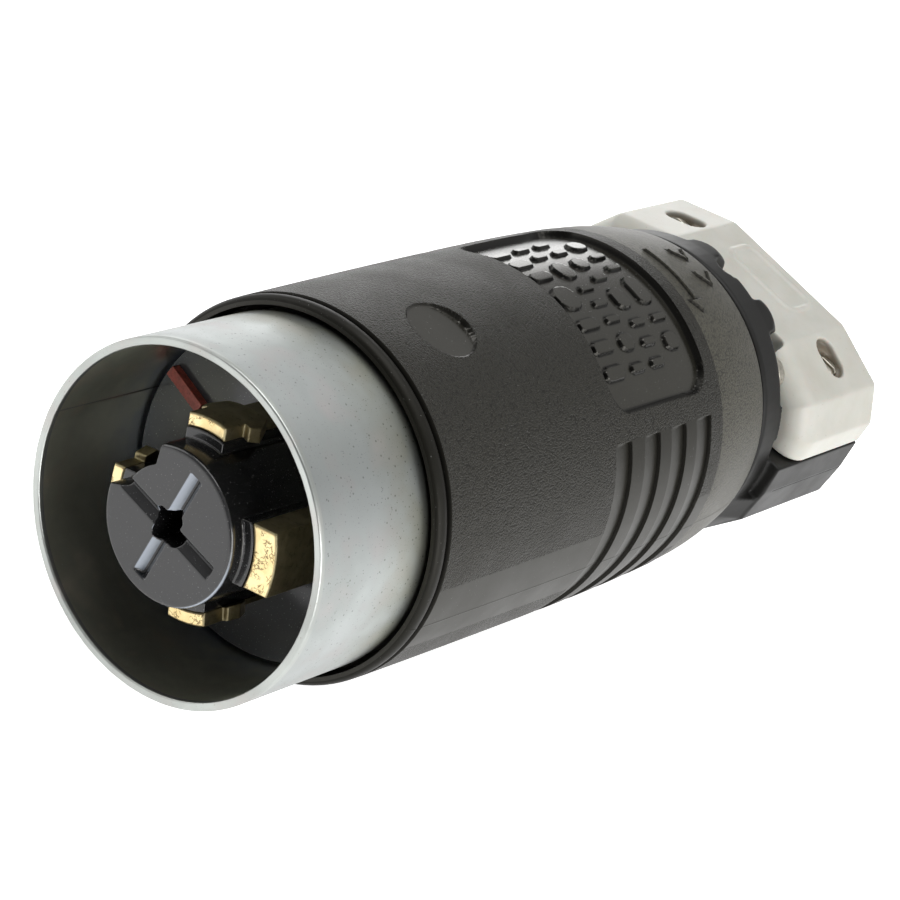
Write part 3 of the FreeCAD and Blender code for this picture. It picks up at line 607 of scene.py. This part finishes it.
def clamp_black(name):
    """Smooth black nylon with a fine mould line round the fixed clamp half, and painted shade in
    the gap in front of the collar.
    """
    made, tree, place, shader = start_material(name)
    cloud = noise_value(tree, place, 7.0, 3.0)
    base = clouded(tree, cloud, (0.0070, 0.0068, 0.0062, 1.0), (0.0115, 0.0112, 0.0105, 1.0))
    height = add_node(tree, "ShaderNodeSeparateXYZ", {0: place}).outputs["Z"]
    off_line = away_from(tree, height, MOULD_LINE_Z * MM)
    thin = remap(tree, off_line, 0.07 * MM, 0.2 * MM, 1.0, 0.0)
    line = times(tree, thin, past(tree, place, (MOULD_LINE_START, MOULD_LINE_START + 0.2)))
    base = blend_colours(tree, line, base, grey(0.004))
    # Painted shade: the gap between the grip and the collar is coloured near black and less glossy.
    groove_shade = times(tree, past(tree, place, (COLLAR_START, COLLAR_START + 0.2)),
                   before(tree, place, (COLLAR_GROOVE_END, COLLAR_GROOVE_END + 0.3)))
    base = blend_colours(tree, groove_shade, base, grey(0.002))
    skin = bump(tree, noise_value(tree, place, 0.45, 3.0), 0.01)
    skin = bump(tree, line, -0.12, skin)
    rough = remap(tree, cloud, 0.3, 0.7, 0.38, 0.5)
    shine = remap(tree, groove_shade, 0.0, 1.0, 0.19, 0.08)
    set_inputs(tree, shader, {"Base Color": base, "Roughness": rough, "Normal": skin,
                              "Specular IOR Level": shine})
    return made


def clamp_ivory(name):
    """Ivory nylon: satin, slightly translucent, with faint stains, a few dark specks and painted
    shade in the screw pockets.
    """
    made, tree, place, shader = start_material(name)
    cloud = noise_value(tree, place, 8.0, 4.0)
    base = clouded(tree, cloud, (0.44, 0.435, 0.395, 1.0), (0.39, 0.38, 0.335, 1.0))
    stains = remap(tree, noise_value(tree, place, 3.0, 4.0, 0.65), 0.6, 0.78, 0.0, 0.25)
    base = blend_colours(tree, stains, base, (0.42, 0.37, 0.28, 1.0))
    dots = specks(tree, place, 0.5, 0.735)
    base = blend_colours(tree, times(tree, dots, 0.6), base, (0.25, 0.22, 0.17, 1.0))
    # Painted shade in the screw pockets, from the stored painted shading.
    base = blend_colours(tree, painted_shading_amount(tree), base, (0.11, 0.085, 0.055, 1.0))
    skin = bump(tree, noise_value(tree, place, 0.8, 3.0), 0.012)
    values = {"Base Color": base, "Roughness": 0.42, "Normal": skin, "Subsurface Weight": 0.15,
              "Subsurface Scale": 1.5 * MM}
    set_inputs(tree, shader, values)
    return made


STEEL_OUTSIDE = zinc_steel(
    "zinc_steel", light=(0.375, 0.395, 0.39, 1.0), dark=(0.325, 0.345, 0.335, 1.0),
    roughness=0.45, speck_size=0.15, speck_colour=(0.06, 0.06, 0.045, 1.0),
    deep_shade_colour=(0.25, 0.255, 0.205, 1.0))
STEEL_INSIDE = zinc_steel(
    "zinc_steel_inside", light=(0.68, 0.69, 0.57, 1.0), dark=(0.52, 0.53, 0.44, 1.0),
    roughness=0.36, speck_size=0.07, speck_colour=grey(0.95),
    deep_shade_colour=(0.45, 0.53, 0.62, 1.0))
STEEL_RIM = zinc_steel(
    "zinc_steel_rim", light=(0.42, 0.44, 0.42, 1.0), dark=(0.33, 0.345, 0.33, 1.0),
    roughness=0.38, speck_size=0.10, speck_colour=(0.14, 0.12, 0.08, 1.0),
    deep_shade_colour=grey(0.4))
FLOOR_PHENOLIC = phenolic("phenolic_floor", side=0.044, face=0.044, roughness=0.14, gloss=0.4,
                          blue=0.12)
POST_PHENOLIC = phenolic("phenolic_post", side=0.007, face=0.021, roughness=0.16, gloss=0.6,
                         blue=0.04)
BRASS = brass("brass")
PLATED = plated("plated_screws")
RED = red_fibre("red_fibre")
GRAIN = grip_plastic("grip_grain", level=0.0120, roughness=0.46, gloss=0.29, grain=0.12)
SKIN = grip_plastic("grip_smooth", level=0.0085, roughness=0.42, gloss=0.33)
# Painted light: the neck is given a far lighter colour than the rest of the same black grip.
NECK = grip_plastic("grip_neck", level=0.0500, roughness=0.44, gloss=0.42, grain=0.04)
PANEL = grip_plastic("grip_panel", level=0.0095, roughness=0.21, gloss=0.70)
BEAD = grip_plastic("grip_bead", level=0.0055, roughness=0.46, gloss=0.15)
CLAMP_BLACK = clamp_black("clamp_black")
IVORY = clamp_ivory("clamp_ivory")


# --- shroud -----------------------------------------------------------------------------
def arc(y, radius, size, start, end, count):
    """Points (y, r) round an arc; angles in degrees from the +y direction towards +r."""
    turns = np.radians(np.linspace(start, end, count))
    return [(y + size * math.cos(t), radius + size * math.sin(t)) for t in turns]


def shroud_profile():
    """Half section of the shroud as (y, r), from the rear outside, round the rim, to the flange."""
    inner = SHROUD_R - SHROUD_WALL
    flange_y = SHROUD_END - FLANGE_T
    outside = [(SHROUD_END, SHROUD_SEAT_R), (SLEEVE_END, SHROUD_SEAT_R),
               (SLEEVE_END - 0.02, SHROUD_R)]
    outside += [(y, SHROUD_R) for y in np.linspace(SLEEVE_END - 0.6, 1.0, WALL_ROWS)]
    rim = arc(RIM_ROUND, SHROUD_R - RIM_ROUND, RIM_ROUND, 90, 180, RIM_ROWS)
    rim += arc(RIM_ROUND, inner + RIM_ROUND, RIM_ROUND, 180, 270, RIM_ROWS)
    bore = [(y, inner) for y in np.linspace(1.0, CAVITY_FLOOR + 1, WALL_ROWS)]
    rear = [(flange_y, inner), (flange_y, FLANGE_BORE_R), (SHROUD_END, FLANGE_BORE_R)]
    return np.array(outside + rim + bore + rear)


def shroud_angles():
    """Columns round the shroud, closer together at its seam."""
    fine = (SEAM_ANGLE - 0.5, SEAM_ANGLE + 0.5, 0.12)
    return stations((0, SEAM_ANGLE - 1, 1.0), fine, (SEAM_ANGLE + 1, 359, 1.0))


def rim_wear(points):
    """Small dents and nicks on the rim, fading out away from it."""
    for row in points:
        fade = max(0.0, 1.0 - row[0][1] / RIM_WEAR_REACH)
        if fade > 0:
            for point in row:
                place = Vector(point)
                dent = noise.noise(place * 0.6)
                nick = max(0.0, noise.noise(place * 2.6) - 0.35)
                point[1] += fade * RIM_WEAR * (dent + nick)


def steel_shroud():
    """The sleeve in one skin, with its own finish outside, inside and on the rim."""
    profile = shroud_profile()
    angles = shroud_angles()
    y = profile[:, :1]
    radius = np.repeat(profile[:, 1:], len(angles), axis=1)
    on_bore = (np.abs(profile[:, 1] - (SHROUD_R - SHROUD_WALL)) < 0.01)[:, None]
    near_seam = 1.0 - np.clip(np.abs(angles - SEAM_ANGLE) / SEAM_HALF, 0, 1)
    radius = radius + np.where(on_bore, SEAM_DEPTH * near_seam[None, :], 0.0)
    points = polar_points(y, radius, angles)
    rim_wear(points)
    mesh = tube_mesh("steel_shroud_skin", points)
    # Painted reflection along the bore's seam, stored for the inside finish.
    store_painted_shading(mesh, np.where(on_bore, near_seam[None, :], 0.0) * np.ones(radius.shape))
    rows = np.repeat(np.arange(len(profile)), len(angles))
    rim_start = SEAT_ROWS + WALL_ROWS
    rim_end = rim_start + 2 * RIM_ROWS
    kinds = np.where(rows < rim_start - 1, 0, np.where(rows < rim_end, 2, 1))
    smooth(mesh, 40)
    finishes = [STEEL_OUTSIDE, STEEL_INSIDE, STEEL_RIM]
    add_piece("steel_shroud_skin", mesh, BODY, finishes, ["steel_shroud"], kinds)


# --- contact end ------------------------------------------------------------------------
def carrier_disc():
    """Thick disc behind the cavity's floor, with a small gap round its front edge."""
    profile = [(CAVITY_FLOOR, 1.0), (CAVITY_FLOOR, 12.0), (CAVITY_FLOOR, 20.0),
               (CAVITY_FLOOR, CARRIER_LIP_R - CARRIER_EDGE),
               (CAVITY_FLOOR + CARRIER_EDGE, CARRIER_LIP_R), (CARRIER_LIP_END, CARRIER_LIP_R),
               (CARRIER_LIP_END, CARRIER_R), (CARRIER_END, CARRIER_R), (CARRIER_END, 1.0)]
    angles = np.arange(0, 360, 1.5)
    mesh = tube_mesh("carrier_disc", turned(profile, angles))
    smooth(mesh, 30)
    add_piece("carrier_disc", mesh, BODY, [FLOOR_PHENOLIC], ["contact_carrier"])


def contact_end():
    """Centre post, cavity floor, key strip and the four brass contacts."""
    post = moulded("contact_post", "contact_carrier", voxel=0.16, relax=2,
                   cut_y=CAVITY_FLOOR - POST_ROOT)
    add_piece("contact_post", post, BODY, [POST_PHENOLIC], ["contact_carrier"])
    carrier_disc()
    strip = moulded("key_strip_bar", "key_strip", voxel=0.1, relax=2)
    add_piece("key_strip_bar", strip, BODY, [RED], ["key_strip"])
    for number in range(1, 5):
        node = "contact_%d" % number
        blade = moulded(node + "_blade", node, voxel=0.15, relax=2)
        add_piece(node + "_blade", blade, BODY, [BRASS], [node])


# --- grip -------------------------------------------------------------------------------
def grip_profile(y):
    """Radius of the grip's plain skin at y: lip bead, groove, crowned barrel, tapering neck."""
    bead_end = GRIP_Y0 + BEAD_LENGTH
    neck_start = GRAIN_END + NECK_STEP
    off_middle = np.clip((y - GRIP_Y0) / (BEAD_LENGTH / 2) - 1, -1, 1)
    bead = BEAD_FOOT_R + BEAD_CROWN * np.sqrt(1 - off_middle ** 2)
    front = (BARREL_PEAK_Y - y) / (BARREL_PEAK_Y - BARREL_EDGE_Y)
    rear = (y - BARREL_PEAK_Y) / (GRAIN_END - BARREL_PEAK_Y)
    front_drop = BARREL_FRONT_DROP * front ** 2
    rear_drop = GRAIN_END_DROP * rear ** 2
    barrel = BARREL_R - np.where(y < BARREL_PEAK_Y, front_drop, rear_drop)
    edge = ease((y - bead_end) / (BARREL_EDGE_Y - bead_end))
    barrel = BEAD_FOOT_R + (barrel - BEAD_FOOT_R) * edge
    along = np.clip((y - neck_start) / (GRIP_Y1 - neck_start), 0, 1)
    neck = NECK_R0 - NECK_DROP * along ** NECK_POWER
    step = np.clip((y - GRAIN_END) / NECK_STEP, 0, 1)
    body = barrel + (neck - barrel) * step
    past_edge = np.clip((y - GRIP_Y1 + REAR_EDGE) / REAR_EDGE, 0, 1)
    body = body - REAR_EDGE * (1 - np.sqrt(1 - past_edge ** 2))
    return np.where(y < bead_end, bead, body)


def panel_distance(x, y):
    """Signed distance to the rating panel's outline."""
    middle = sum(PANEL_Y) / 2
    return rounded_box(x, y - middle, PANEL_HALF_W, middle - PANEL_Y[0], PANEL_CORNER)


def dash_distance(x, y):
    """Signed distance to the nearest raised bar of the rating panel."""
    nearest = np.full(x.shape, 1e9)
    for y0, y1, widths in PANEL_ROWS:
        start = -(sum(widths) + DASH_GAP * (len(widths) - 1)) / 2
        length = y1 - y0
        for width in widths:
            corner = min(width, length) * DASH_ROUNDNESS
            u = x - start - width / 2
            bar = rounded_box(u, y - (y0 + y1) / 2, width / 2, length / 2, corner)
            nearest = np.minimum(nearest, bar)
            start += width + DASH_GAP
    return nearest


def mark_distance(x, y):
    """Signed distance to the neck's marks: a turning bar with a head, and two chevrons."""
    shapes = [TURN_BAR, TURN_HEAD]
    for left in CHEVRON_STARTS:
        right = left + CHEVRON_REACH
        foot, bend, tip = CHEVRON_Y
        shapes.append([(left, foot), (left + CHEVRON_BAR, foot), (right + CHEVRON_BAR, bend),
                       (right, bend)])
        shapes.append([(right, bend), (right + CHEVRON_BAR, bend), (left + CHEVRON_BAR, tip),
                       (left, tip)])
    return np.minimum.reduce([convex_polygon(x, y, shape) for shape in shapes])


def rib_depth(y, angle):
    """Depth of the saw-tooth thumb grooves on both flanks."""
    away = np.minimum(angle, 360 - angle)
    middle = sum(RIB_ANGLES) / 2
    past_end = np.radians(np.abs(away - middle) - (middle - RIB_ANGLES[0]))
    ramp = np.zeros(np.broadcast(y, angle).shape)
    for start in RIB_STARTS:
        along = np.clip((y - start) / RIB_LENGTH, 0, 1)
        back = np.clip(1 - (y - start - RIB_LENGTH) / RIB_WALL, 0, 1)
        ramp = np.maximum(ramp, along * back)
    return RIB_DEPTH * ramp * inside(past_end * BARREL_R, RIB_END_WALL)


def grip_surface(y, angle):
    """Outer radius of the grip at each y (rows) and angle (columns)."""
    turn = np.radians(angle)
    plain = grip_profile(y) * np.ones(np.broadcast(y, angle).shape)
    x = plain * np.sin(turn)
    on_top = np.cos(turn) > 0
    recess = inside(panel_distance(x, y), PANEL_WALL) * on_top
    dashes = inside(dash_distance(x, y), DASH_WALL) * on_top
    radius = plain - PANEL_DEPTH * recess + DASH_HEIGHT * dashes
    from_emblem = np.hypot(x, y - EMBLEM_Y)
    dish = inside(from_emblem - EMBLEM_R, EMBLEM_WALL) * on_top
    flat = np.minimum(plain, EMBLEM_FLOOR_Z / np.maximum(np.cos(turn), 0.5))
    radius = radius + (flat - plain) * dish
    radius = radius + MARK_HEIGHT * inside(mark_distance(x, y), DASH_WALL) * on_top
    radius = radius - rib_depth(y, angle)
    off_parting = np.abs(np.minimum(angle, 360 - angle) - PARTING_ANGLE)
    return radius + PARTING_HEIGHT * np.clip(1 - off_parting / PARTING_HALF, 0, 1)


def rib_painted_shade(y, angle):
    """Painted shade in the corner at the foot of the wall in each of the thumb grooves."""
    away = np.minimum(angle, 360 - angle)
    within = (away > RIB_ANGLES[0]) & (away < RIB_ANGLES[1])
    nearest = np.full(np.broadcast(y, angle).shape, 1e9)
    for start in RIB_STARTS:
        nearest = np.minimum(nearest, np.abs(y - start - RIB_LENGTH))
    return np.exp(-((nearest - RIB_WALL / 2) / 0.14) ** 2) * within


def outline(distance, depth, half_width):
    """1 on the line a little inside an outline, falling to 0 at about half_width from it."""
    return np.exp(-((distance + depth) / half_width) ** 4)


def grip_painted_shade(y, angle):
    """Painted shade that outlines the panel, its bars, the marks, the emblem and the thumb grooves,
    and fills the narrow gap behind the lip bead.
    """
    turn = np.radians(angle)
    x = grip_profile(y) * np.sin(turn)
    on_top = np.cos(turn) > 0
    from_emblem = np.hypot(x, y - EMBLEM_Y) - EMBLEM_R
    bars = 0.97 * outline(dash_distance(x, y + 0 * x), 0.02, 0.24)
    wall = 0.9 * outline(panel_distance(x, y), 0.2, 0.3)
    marks = 0.9 * outline(mark_distance(x, y), 0.02, 0.2)
    dish = 0.7 * outline(from_emblem, 0.1, 0.18)
    drawn = np.maximum.reduce([bars, wall, marks, dish]) * on_top
    # Painted shade in the narrow gap behind the lip bead.
    groove_shade = 0.9 * np.exp(-((y - GRIP_Y0 - BEAD_LENGTH - 0.1) / 0.2) ** 2)
    return np.maximum.reduce([drawn, 0.45 * rib_painted_shade(y, angle), groove_shade * np.ones(drawn.shape)])


def grip_rows():
    """Stations along the grip, close together where the surface has detail."""
    half_bead = BEAD_LENGTH / 2
    bead_rows = GRIP_Y0 + half_bead * (1 - np.cos(np.linspace(0, math.pi, BEAD_ROWS)))
    rib_edges = [start + k for start in RIB_STARTS for k in (0, RIB_LENGTH, RIB_LENGTH + RIB_WALL)]
    rib_rows = [(edge, edge + 0.03, 0.03) for edge in rib_edges]
    neck_start = GRAIN_END + NECK_STEP
    rear_edge = GRIP_Y1 - REAR_EDGE
    rows = stations((bead_rows[-1], BARREL_EDGE_Y, 0.1), (BARREL_EDGE_Y, 36, 1.0),
                    (36, 48.6, 0.25), (48.6, 70.4, 1.2), (70.4, 101, 0.2), (101, GRAIN_END, 0.5),
                    (GRAIN_END, neck_start, 0.1), (103.6, 118.2, 0.22), (118.2, rear_edge, 0.5),
                    (rear_edge, GRIP_Y1, 0.1), *rib_rows)
    return np.concatenate([bead_rows[:-1], rows])


def grip_columns():
    """Angles round the grip, close together over the panel, the rib ends and the parting line."""
    half = stations((0, 44, 0.38), (44, 48, 1.3), (48, 51, 0.3), (51, 76, 2.4), (76, 78, 1.0),
                    (78, 89, 2.5), (89.4, 90.6, 0.3), (92, 129, 2.6), (129, 132, 0.3),
                    (134, 180, 2.8))
    return np.concatenate([half, 360 - half[-2:0:-1]])


def grip_kinds(y, angle):
    """Finish of each face: 0 grain, 1 smooth skin, 2 panel and emblem floor, 3 bead, 4 neck."""
    y, angle = np.broadcast_arrays(y, angle)
    away = np.minimum(angle, 360 - angle)
    x = grip_profile(y) * np.sin(np.radians(angle))
    kinds = np.zeros(x.shape, np.int32)
    kinds[(away > SMOOTH_BAND[0]) & (away < SMOOTH_BAND[1])] = 1
    in_ribs = (y > RIB_STARTS[0]) & (y < RIB_STARTS[-1] + RIB_LENGTH + RIB_WALL)
    kinds[in_ribs & (away > RIB_ANGLES[0]) & (away < RIB_ANGLES[1])] = 1
    kinds[y > GRAIN_END] = 4
    kinds[y < BARREL_EDGE_Y] = 3
    on_top = away < 90
    kinds[on_top & (panel_distance(x, y) < -FINISH_INSET)] = 2
    kinds[on_top & (np.hypot(x, y - EMBLEM_Y) < EMBLEM_R - FINISH_INSET)] = 2
    return kinds


def grip_body():
    """The grip's skin and bore in one closed mesh, with painted shade round its relief and a finish
    for each face.
    """
    y = grip_rows()
    angles = grip_columns()
    outer = polar_points(y[:, None], grip_surface(y[:, None], angles[None, :]), angles)
    inner = turned(GRIP_BORE, angles)
    mesh = tube_mesh("grip_shell", np.concatenate([outer, inner]))
    # Painted shade round the panel, bars, marks, emblem, thumb grooves and lip; none in the bore.
    painted_shading = np.concatenate([grip_painted_shade(y[:, None], angles[None, :]), np.zeros(inner.shape[:2])])
    store_painted_shading(mesh, painted_shading)
    middle_y = (y[:-1] + y[1:]) / 2
    middle_angle = angles + np.diff(np.append(angles, 360)) / 2
    kinds = np.ones((len(y) + len(GRIP_BORE), len(angles)), np.int32)
    kinds[:len(y) - 1] = grip_kinds(middle_y[:, None], middle_angle[None, :])
    smooth(mesh, 38)
    add_piece("grip_shell", mesh, BODY, [GRAIN, SKIN, PANEL, BEAD, NECK],
              ["grip_body"], kinds)


# --- cord clamp and screws --------------------------------------------------------------
def pocket_painted_shade(mesh):
    """Painted shade inside the two screw pockets, darker further down."""
    points = np.zeros(len(mesh.vertices) * 3)
    mesh.vertices.foreach_get("co", points)
    x, y, z = points.reshape(-1, 3).T / MM
    height = np.abs(x) * math.sin(SHOULDER_SLOPE) + z * math.cos(SHOULDER_SLOPE)
    depth = SHOULDER_REACH - height
    near = np.hypot(np.abs(x) - POCKET_X, y - POCKET_Y) < POCKET_REACH
    return np.clip((depth - 0.15) / 0.9, 0, 0.92) * near


def cord_clamp():
    """Black half with the collar, and the pale half."""
    base = moulded("clamp_base_body", "clamp_base", voxel=0.3, relax=3)
    add_piece("clamp_base_body", base, BODY, [CLAMP_BLACK], ["clamp_base"])
    cover = moulded("clamp_cover_body", "clamp_cover", voxel=0.24, relax=5)
    store_painted_shading(cover, pocket_painted_shade(cover))
    add_piece("clamp_cover_body", cover, "clamp_cover", [IVORY], ["clamp_cover"])


def screws():
    """The clamp's two screws, and the three long screws behind the collar."""
    for side in ("left", "right"):
        node = "clamp_screw_" + side
        mesh = moulded(node + "_metal", node, voxel=0.14, relax=1)
        add_piece(node + "_metal", mesh, node, [PLATED], [node])
    mesh = moulded("assembly_screws_metal", "assembly_screws", voxel=0.25, relax=1)
    add_piece("assembly_screws_metal", mesh, BODY, [PLATED],
              ["assembly_screws"])


def dress_hidden_nodes():
    """Finishes of the CAD nodes that are shown as they are."""
    finishes = {"terminal_barrier": POST_PHENOLIC, "ground_strap": PLATED,
                "ground_rivet": PLATED, "clamp_nuts": PLATED}
    for number in range(1, 5):
        finishes["pressure_plate_%d" % number] = PLATED
        finishes["terminal_screw_%d" % number] = PLATED
    for node, finish in finishes.items():
        shown = frame["nodes"][node]
        for slot_index in range(len(shown.material_slots)):
            shown.material_slots[slot_index].material = finish
        if not shown.material_slots:
            shown.data.materials.append(finish)


# --- stage ------------------------------------------------------------------------------
FLOOR_Z = -31.0
FLOOR_HALF_M = 3.0
CAMERA_AT = Vector((176.8, -336.2, 269.7)) * MM
CAMERA_AIM = Vector((-3.40, 78.0, -7.85)) * MM
CAMERA_ROLL = 33.18
CAMERA_LENS = 127.16
SENSOR = 36.0
MIDDLE = Vector((0, 78, 0)) * MM
OPEN_END_DIRECTION = (0.2, -0.95, 0.2)


def camera():
    """Long lens, tilted with the plug lying across the picture."""
    data = bpy.data.cameras.new("camera")
    data.lens = CAMERA_LENS
    data.sensor_width = SENSOR
    seen = bpy.data.objects.new("camera", data)
    bpy.context.scene.collection.objects.link(seen)
    level = (CAMERA_AT - CAMERA_AIM).to_track_quat("Z", "Y").to_matrix().to_4x4()
    roll = Matrix.Rotation(math.radians(CAMERA_ROLL), 4, "Z")
    seen.matrix_world = Matrix.Translation(CAMERA_AT) @ level @ roll
    bpy.context.scene.camera = seen


def floor():
    """Pale plain floor just under the grip."""
    mesh = bpy.data.meshes.new("floor")
    outline_signs = ((-1, -1), (1, -1), (1, 1), (-1, 1))
    corners = [(u * FLOOR_HALF_M, v * FLOOR_HALF_M, FLOOR_Z * MM) for u, v in outline_signs]
    mesh.from_pydata(corners, [], [(0, 1, 2, 3)])
    plane = bpy.data.objects.new("floor", mesh)
    bpy.context.scene.collection.objects.link(plane)
    made, tree, _, shader = start_material("floor_white")
    set_inputs(tree, shader, {"Base Color": grey(0.8), "Roughness": 0.9,
                              "Emission Color": grey(1.0), "Emission Strength": 0.76})
    mesh.materials.append(made)


def area_light(name, position, size, power):
    """Square soft box aimed at the plug's middle; position is in metres from there."""
    data = bpy.data.lights.new(name, "AREA")
    data.energy = power
    data.size = size
    lamp = bpy.data.objects.new(name, data)
    bpy.context.scene.collection.objects.link(lamp)
    place = MIDDLE + Vector(position)
    aim = (place - MIDDLE).to_track_quat("Z", "Y").to_matrix().to_4x4()
    lamp.matrix_world = Matrix.Translation(place) @ aim


def lights():
    """Soft boxes above and on both sides, one low by the open end, one behind."""
    area_light("top_box", (-0.15, 0.05, 0.75), 0.7, 4.3)
    area_light("left_box", (-0.75, -0.25, 0.35), 0.5, 1.3)
    area_light("right_box", (0.75, 0.25, 0.30), 0.6, 1.6)
    area_light("low_box", (0.52, -0.20, 0.12), 0.34, 2.2)
    area_light("back_box", (-0.62, 0.78, 0.02), 0.5, 2.2)


def world():
    """White surroundings, darker from the open end so that the cavity stays dark."""
    made = bpy.data.worlds.new("studio")
    made.use_nodes = True
    tree = made.node_tree
    background = tree.nodes["Background"]
    direction = tree.nodes.new("ShaderNodeTexCoord").outputs["Generated"]
    towards = vector_maths(tree, "DOT_PRODUCT", direction, OPEN_END_DIRECTION, "Value")
    level = remap(tree, towards, 0.2, 0.8, 0.55, 0.2)
    tree.links.new(level, background.inputs["Strength"])
    background.inputs["Color"].default_value = (1.0, 1.0, 1.0, 1.0)
    bpy.context.scene.world = made
    bpy.context.scene.view_settings.view_transform = "Standard"


steel_shroud()
contact_end()
grip_body()
cord_clamp()
screws()
dress_hidden_nodes()
floor()
lights()
world()
camera()
